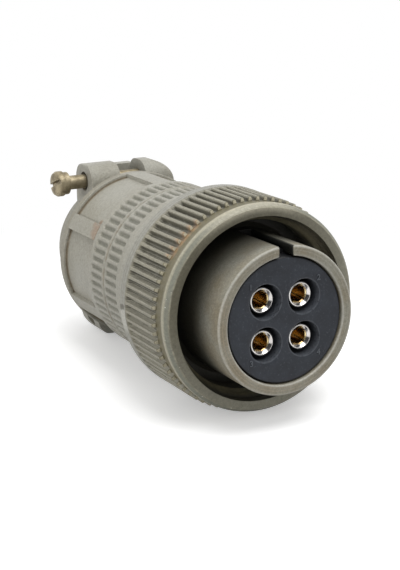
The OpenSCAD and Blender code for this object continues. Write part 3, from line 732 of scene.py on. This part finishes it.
def softened(node, name, width, body, material):
    """A copy of a solid with its edges broken: merged, its flat faces made whole, then bevelled."""
    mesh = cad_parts[node].data.copy()
    mesh.name = name
    work = bmesh.new()
    work.from_mesh(mesh)
    bmesh.ops.remove_doubles(work, verts=work.verts, dist=2e-6)
    bmesh.ops.dissolve_limit(work, angle_limit=math.radians(0.5), verts=work.verts, edges=work.edges)
    work.to_mesh(mesh)
    work.free()
    for attribute in [a.name for a in mesh.attributes if a.name == "custom_normal"]:
        mesh.attributes.remove(mesh.attributes[attribute])
    mesh.materials.clear()
    mesh.materials.append(material)
    mesh.shade_smooth()
    made = bpy.data.objects.new(name, mesh)
    bpy.context.scene.collection.objects.link(made)
    bevel = made.modifiers.new("broken_edges", "BEVEL")
    bevel.width, bevel.segments = width * MM, 3
    bevel.limit_method, bevel.angle_limit = "ANGLE", math.radians(35)
    bevel.use_clamp_overlap = True
    bevel.harden_normals = True
    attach(made, body)
    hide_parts(node)


def socket_tarnish(x, z):
    """How brown the plating is painted in a socket: painted shade in the bore, with bright gold left on the
    wall that faces the light.
    """
    across = x - x.math("SIGN", x) * contact_offset
    up = z - z.math("SIGN", z) * contact_offset
    lit_wall = across.step(0.1, 0.7) * up.step(-1.1, -0.8) * up.step(0.6, 0.1)
    return (across * across + up * up).step(2.0, 1.7) * (1 - lit_wall) * 0.55


gold = metal("gold_plate", srgb(255, 234, 176), srgb(240, 204, 134), 0.26, 0.01, 0.25, socket_tarnish)
bright_steel = metal("bright_steel", srgb(226, 223, 220), srgb(160, 152, 146), 0.17, 0.008, 0.4)
hood_low, hood_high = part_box("contact_hood_1")
hood_start, hood_end = hood_low.y / MM, hood_high.y / MM
hood_outer, hood_inner = 2.02, 1.69
hood_mouth = hood_start + 0.42                # the mouth is rolled in from here,
hood_lip_r, lip_back = 1.34, hood_start + 0.89    # narrows to this radius and ends there
hood_outline = rounded([
    (hood_mouth, hood_outer, 0.24), (hood_end, hood_outer, 0.05), (hood_end, hood_inner, 0.05),
    (lip_back, hood_inner, 0.02), (lip_back, hood_lip_r, 0.02),
    (hood_mouth + 0.42, hood_lip_r + 0.01, 0.15), (hood_mouth, hood_outer - 0.27, 0.09)], 6)
for number, (sx, sz) in enumerate(contact_sides, 1):
    centre = (sx * contact_offset * MM, sz * contact_offset * MM)
    hood = shaped(f"hood_{number}", *turned(hood_outline, 72, centre), bright_steel)
    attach(hood, "shell")
    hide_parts(f"contact_hood_{number}")
    softened(f"contact_{number}", f"socket_contact_{number}", 0.05, "shell", gold)

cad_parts["insert_retaining_ring"].data.materials.clear()
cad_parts["insert_retaining_ring"].data.materials.append(bright_steel)


# ---- Backshell ----------------------------------------------------------------------------------
# The rear housing over the solder cups, screwed on the barrel.  Two bands of rounded pits, rolled
# round its waist, give grip, and the cable clamp screws on its rear thread.

shell_low, shell_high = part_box("backshell")
shell_start, thread_end = shell_low.y / MM, shell_high.y / MM
shell_r, collar_r = 14.75, 15.3
shell_end = 40.7
pit_count = 66
pit_length, pit_w, pit_depth = 4.4, 0.84, 0.5
pit_corner = 0.42                             # rounding of the pits' ends
pit_bands = (29.1, 34.8)                      # where each band of pits starts


def pitted_shell():
    """The housing's outline revolved, with two bands of round-ended pits sunk in it.

    A pit is as deep as a smooth step of the distance inside a rounded rectangle, along and across.
    """
    outside = rounded([(shell_start, 12.05), (shell_start, collar_r, 0.4), (26.8, collar_r, 0.5),
                       (27.7, shell_r, 0.7), (28.6, shell_r)], 4)[:-1]
    ends = np.array([-0.14, -0.02, 0.08, 0.18, 0.30, 0.44, 0.62, 0.85])
    steps = np.concatenate([ends, [1.5, pit_length / 2, pit_length - 1.5], (pit_length - ends)[::-1]])
    rows = [outside]
    for start_y in pit_bands:
        rows.append(np.stack([start_y + steps, np.full(len(steps), shell_r)], -1))
        if start_y == pit_bands[0]:
            rows.append(np.array([(33.72, 14.72), (33.84, 14.62), (33.98, 14.48), (34.15, 14.43),
                                  (34.32, 14.48), (34.46, 14.62), (34.58, 14.72)]))
    rows.append(rounded([(39.9, shell_r), (shell_end, shell_r, 0.35), (shell_end, 12.1), (41.7, 12.1),
                         (42.3, 12.7), (thread_end - 0.6, 12.7), (thread_end, 12.1), (thread_end, 9.5),
                         (33.05, 9.5), (31.25, 10.35), (31.25, 12.05)], 4))
    outline = np.concatenate(rows)
    along, radius = outline[:, :1], outline[:, 1:]
    pitch = 2 * math.pi * shell_r / pit_count
    across = np.array([-0.70, -0.55, -0.46, -0.38, -0.29, -0.19, -0.07, 0.07, 0.19, 0.29, 0.38, 0.46, 0.55])
    turns = ((np.arange(pit_count)[:, None] + 0.5 + across[None, :] / pitch) / pit_count).ravel()
    across = np.tile(across, pit_count)[None, :]
    depth = np.zeros((len(along), len(turns)))
    for start_y in pit_bands:
        out_y = np.abs(along - start_y - pit_length / 2) - (pit_length / 2 - pit_corner)
        out_x = np.abs(across) - (pit_w / 2 - pit_corner)
        outside_by = np.hypot(np.maximum(out_y, 0), np.maximum(out_x, 0)) - pit_corner
        outside_by = outside_by + np.minimum(np.maximum(out_y, out_x), 0)
        share = np.clip((0.12 - outside_by) / 0.48, 0, 1)
        depth = np.maximum(depth, pit_depth * share * share * (3 - 2 * share))
    on_skin = np.abs(radius - shell_r) < 1e-6
    r = radius - depth * on_skin
    points = around_axis(along * MM, r * MM, 2 * math.pi * turns[None, :])
    return points.reshape(-1, 3), [grid_faces(len(along), len(turns), True, True)]


def shell_dirt(start, place, xyz, colour):
    """Painted shade on the pit floors, and brown dirt in the groove between the bands and at both shoulders.
    """
    x, y, z = xyz
    from_axis = (x * x + z * z) ** 0.5
    # Painted shade on the pit floors.
    pits = y.step(28.9, 29.2) * y.step(39.4, 39.1) * from_axis.step(shell_r - 0.06, shell_r - 0.34)
    colour = (pits * 0.5).mix(colour, srgb(120, 121, 110))
    uneven = noise(place, 0.5, 3.0)
    seam = y.step(33.6, 34.0) * y.step(34.7, 34.3)
    rear = y.step(40.1, 40.6)
    return ((seam.math("MAXIMUM", seam, rear) * uneven.step(0.35, 0.6)) * 0.6).mix(colour, srgb(122, 106, 86))


backshell = shaped("pitted_backshell", *pitted_shell(),
                   grey_coat("grey_coat_backshell", extra=shell_dirt), sharp_degrees=40)
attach(backshell, "shell")
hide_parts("backshell")


# ---- Cable clamp --------------------------------------------------------------------------------
# A cast aluminium ring with six sunk panels, screwed on the backshell.  Its two arms carry the
# saddles, which the clamp screws draw together on the cable.

def clamp_dirt(start, place, xyz, colour):
    """Brown dirt where the panels meet the rear lip, and along the ring's front edge."""
    x, y, z = xyz
    from_axis = (x * x + z * z) ** 0.5
    uneven = noise(place, 0.45, 3.0)
    corner = y.step(51.2, 51.8) * y.step(52.1, 51.98) * from_axis.step(14.3, 14.0)
    front = y.step(41.35, 40.95) * uneven.step(0.45, 0.65)
    lip = y.step(51.9, 52.1) * y.step(54.0, 53.6) * from_axis.step(14.2, 14.4)
    colour = (lip * 0.4).mix(colour, srgb(128, 122, 106))
    colour = (corner * uneven.step(0.25, 0.5) * 0.8).mix(colour, srgb(116, 103, 82))
    return (front * 0.5).mix(colour, srgb(110, 100, 82))


clamp_coat = grey_coat("grey_coat_clamp", extra=clamp_dirt,
                       brown=[(-12.0, 41.6, 7.0, 1.9), (-11.3, 42.6, 7.6, 1.5), (-12.6, 41.0, 5.9, 1.3)],
                       dark=[(-13.4, 41.0, 4.0, 0.5), (-9.4, 41.0, 10.4, 0.45), (-6.2, 41.0, 12.5, 0.4)])
softened("clamp_body", "panelled_clamp", 0.22, "shell", clamp_coat)
saddle_coat = grey_coat("grey_coat_saddles")
softened("saddle_left", "left_saddle", 0.35, "saddle_left", saddle_coat)
softened("saddle_right", "right_saddle", 0.35, "saddle_right", saddle_coat)


# ---- Clamp screws and lock washers --------------------------------------------------------------
# Slotted fillister-head screws in yellow-passivated zinc.  Each runs free through one saddle and
# into a thread in the other, with a split washer under its head.

zinc = metal("yellow_zinc", srgb(166, 155, 130), srgb(104, 94, 74), 0.52, 0.03, 0.8)
for side in ("top", "bottom"):
    softened(f"clamp_screw_{side}", f"slotted_screw_{side}", 0.12, f"screw_{side}", zinc)
    softened(f"lock_washer_{side}", f"split_washer_{side}", 0.08, f"washer_{side}", zinc)
